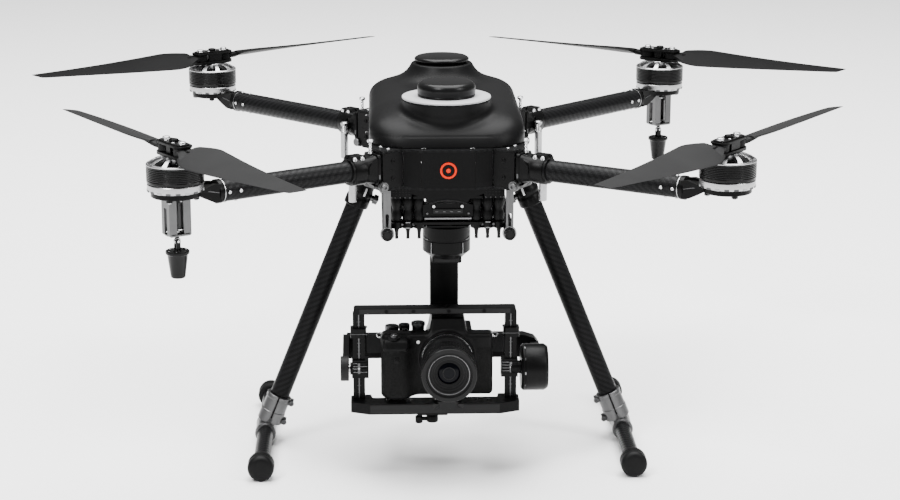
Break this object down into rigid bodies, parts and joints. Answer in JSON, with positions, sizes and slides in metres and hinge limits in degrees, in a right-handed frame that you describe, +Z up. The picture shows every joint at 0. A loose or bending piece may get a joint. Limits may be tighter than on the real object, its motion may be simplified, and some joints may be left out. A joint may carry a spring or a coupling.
{
  "type": "quadcopter camera drone",
  "caption": "Four-rotor camera drone with folding arms and blades, carbon tube skid landing gear and a three-axis gimbal that carries a mirrorless camera.",
  "frame": {"origin": "on the ground, midway between the skids and midway between the four motor axes", "axes": "+Z up; the nose and the camera face -Y; +X is to the right when the drone is seen from in front"},
  "size_m": [1.0471, 0.9806, 0.474],
  "materials": {
    "carbon": "woven carbon fibre, satin clear coat",
    "panel": "black carbon sheet, matte",
    "hood": "soft-touch dark grey plastic",
    "silver": "machined aluminium, bare",
    "battery_case": "blue-black shrink-wrapped battery",
    "electronics": "moulded electronics case",
    "black_metal": "black anodised aluminium",
    "rubber": "black rubber",
    "motor_black": "black coated motor bell",
    "blade": "carbon-filled nylon, matte grey",
    "rubber_cap": "black moulded plastic",
    "camera_plastic": "fine-textured camera black",
    "dial_metal": "knurled black metal"
  },
  "bodies": {
    "airframe": {"top_plate": "carbon", "bottom_plate": "carbon", "front_panel": "panel", "canopy": "hood", "gnss_ring": "silver", "gnss_puck": "hood", "rear_antenna": "hood", "battery": "battery_case", "flight_controller": "electronics", "hinge_brackets": "black_metal", "hinge_pins": "silver", "rails": "carbon", "rail_hangers": "silver", "isolator_plates": "black_metal", "dampers": "rubber", "leg_sockets": "black_metal", "leg_tubes": "carbon", "skid_tees": "silver", "skid_feet": "rubber"},
    "arm_fl": {"arm_fittings_fl": "black_metal", "arm_tube_fl": "carbon", "stator_fl": "silver", "antenna_bracket_fl": "silver"},
    "rotor_fl": {"motor_bell_fl": "motor_black", "prop_hub_fl": "black_metal"},
    "blade_fl_a": {"blade_fl_a": "blade"},
    "blade_fl_b": {"blade_fl_b": "blade"},
    "antenna_fl": {"antenna_fl": "rubber_cap"},
    "arm_fr": {"arm_fittings_fr": "black_metal", "arm_tube_fr": "carbon", "stator_fr": "silver"},
    "rotor_fr": {"motor_bell_fr": "motor_black", "prop_hub_fr": "black_metal"},
    "blade_fr_a": {"blade_fr_a": "blade"},
    "blade_fr_b": {"blade_fr_b": "blade"},
    "arm_rl": {"arm_fittings_rl": "black_metal", "arm_tube_rl": "carbon", "stator_rl": "silver"},
    "rotor_rl": {"motor_bell_rl": "motor_black", "prop_hub_rl": "black_metal"},
    "blade_rl_a": {"blade_rl_a": "blade"},
    "blade_rl_b": {"blade_rl_b": "blade"},
    "arm_rr": {"arm_fittings_rr": "black_metal", "arm_tube_rr": "carbon", "stator_rr": "silver", "antenna_bracket_rr": "silver"},
    "rotor_rr": {"motor_bell_rr": "motor_black", "prop_hub_rr": "black_metal"},
    "blade_rr_a": {"blade_rr_a": "blade"},
    "blade_rr_b": {"blade_rr_b": "blade"},
    "antenna_rr": {"antenna_rr": "rubber_cap"},
    "pan_arm": {"yaw_arm": "black_metal"},
    "roll_bar": {"roll_arm": "black_metal"},
    "camera_cradle": {"cage": "black_metal", "camera_body": "camera_plastic", "lens_barrel": "camera_plastic"},
    "focus_ring": {"focus_ring": "rubber"},
    "mode_dial": {"mode_dial": "dial_metal"},
    "shutter_button": {"shutter_button": "dial_metal"},
    "plate_lever": {"plate_lever": "silver"}
  },
  "joints": [
    {"name": "arm_fl_fold", "type": "hinge", "parent": "airframe", "child": "arm_fl", "pos_m": [-0.084, -0.16, 0.3635], "axis": [0.5439, -0.8392, 0], "range_deg": [0, 65]},
    {"name": "rotor_fl_spin", "type": "hinge", "parent": "arm_fl", "child": "rotor_fl", "pos_m": [-0.3, -0.3, 0.42], "axis": [0, 0, 1], "continuous": true},
    {"name": "blade_fl_a_fold", "type": "hinge", "parent": "rotor_fl", "child": "blade_fl_a", "pos_m": [-0.30967, -0.28482, 0.4366], "axis": [0, 0, 1], "range_deg": [-80, 80]},
    {"name": "blade_fl_b_fold", "type": "hinge", "parent": "rotor_fl", "child": "blade_fl_b", "pos_m": [-0.29033, -0.31518, 0.4366], "axis": [0, 0, -1], "range_deg": [-80, 80]},
    {"name": "antenna_fl_swing", "type": "hinge", "parent": "arm_fl", "child": "antenna_fl", "pos_m": [-0.3, -0.3, 0.334], "axis": [-0.5, 0.866, 0], "range_deg": [-25, 25]},
    {"name": "arm_fr_fold", "type": "hinge", "parent": "airframe", "child": "arm_fr", "pos_m": [0.084, -0.16, 0.3635], "axis": [0.5439, 0.8392, 0], "range_deg": [0, 65]},
    {"name": "rotor_fr_spin", "type": "hinge", "parent": "arm_fr", "child": "rotor_fr", "pos_m": [0.3, -0.3, 0.42], "axis": [0, 0, -1], "continuous": true},
    {"name": "blade_fr_a_fold", "type": "hinge", "parent": "rotor_fr", "child": "blade_fr_a", "pos_m": [0.31096, -0.28572, 0.4366], "axis": [0, 0, -1], "range_deg": [-80, 80]},
    {"name": "blade_fr_b_fold", "type": "hinge", "parent": "rotor_fr", "child": "blade_fr_b", "pos_m": [0.28904, -0.31428, 0.4366], "axis": [0, 0, 1], "range_deg": [-80, 80]},
    {"name": "arm_rl_fold", "type": "hinge", "parent": "airframe", "child": "arm_rl", "pos_m": [-0.095, 0.095, 0.3635], "axis": [-0.7071, -0.7071, 0], "range_deg": [0, 90]},
    {"name": "rotor_rl_spin", "type": "hinge", "parent": "arm_rl", "child": "rotor_rl", "pos_m": [-0.3, 0.3, 0.42], "axis": [0, 0, -1], "continuous": true},
    {"name": "blade_rl_a_fold", "type": "hinge", "parent": "rotor_rl", "child": "blade_rl_a", "pos_m": [-0.28544, 0.31058, 0.4366], "axis": [0, 0, 1], "range_deg": [-80, 80]},
    {"name": "blade_rl_b_fold", "type": "hinge", "parent": "rotor_rl", "child": "blade_rl_b", "pos_m": [-0.31456, 0.28942, 0.4366], "axis": [0, 0, -1], "range_deg": [-80, 80]},
    {"name": "arm_rr_fold", "type": "hinge", "parent": "airframe", "child": "arm_rr", "pos_m": [0.095, 0.095, 0.3635], "axis": [-0.7071, 0.7071, 0], "range_deg": [0, 90]},
    {"name": "rotor_rr_spin", "type": "hinge", "parent": "arm_rr", "child": "rotor_rr", "pos_m": [0.3, 0.3, 0.42], "axis": [0, 0, 1], "continuous": true},
    {"name": "blade_rr_a_fold", "type": "hinge", "parent": "rotor_rr", "child": "blade_rr_a", "pos_m": [0.28508, 0.31006, 0.4366], "axis": [0, 0, -1], "range_deg": [-80, 80]},
    {"name": "blade_rr_b_fold", "type": "hinge", "parent": "rotor_rr", "child": "blade_rr_b", "pos_m": [0.31492, 0.28993, 0.4366], "axis": [0, 0, 1], "range_deg": [-80, 80]},
    {"name": "antenna_rr_swing", "type": "hinge", "parent": "arm_rr", "child": "antenna_rr", "pos_m": [0.3, 0.3, 0.334], "axis": [-0.5, 0.866, 0], "range_deg": [-25, 25]},
    {"name": "gimbal_pan", "type": "hinge", "parent": "airframe", "child": "pan_arm", "pos_m": [0, -0.095, 0.3], "axis": [0, 0, 1], "range_deg": [-170, 170]},
    {"name": "gimbal_roll", "type": "hinge", "parent": "pan_arm", "child": "roll_bar", "pos_m": [0, -0.02, 0.138], "axis": [0, 1, 0], "range_deg": [-30, 30]},
    {"name": "gimbal_tilt", "type": "hinge", "parent": "roll_bar", "child": "camera_cradle", "pos_m": [0, -0.115, 0.129], "axis": [1, 0, 0], "range_deg": [-30, 90]},
    {"name": "lens_focus", "type": "hinge", "parent": "camera_cradle", "child": "focus_ring", "pos_m": [0, -0.175, 0.144], "axis": [0, 1, 0], "range_deg": [-60, 60]},
    {"name": "mode_dial_turn", "type": "hinge", "parent": "camera_cradle", "child": "mode_dial", "pos_m": [-0.034, -0.095, 0.176], "axis": [0, 0, 1], "continuous": true},
    {"name": "shutter_press", "type": "slide", "parent": "camera_cradle", "child": "shutter_button", "axis": [0, 0, -1], "range_m": [0, 0.001], "stiffness_N_per_m": 600},
    {"name": "plate_lever_turn", "type": "hinge", "parent": "camera_cradle", "child": "plate_lever", "pos_m": [-0.018, -0.128, 0.075], "axis": [0, 0, 1], "range_deg": [0, 90]}
  ]
}
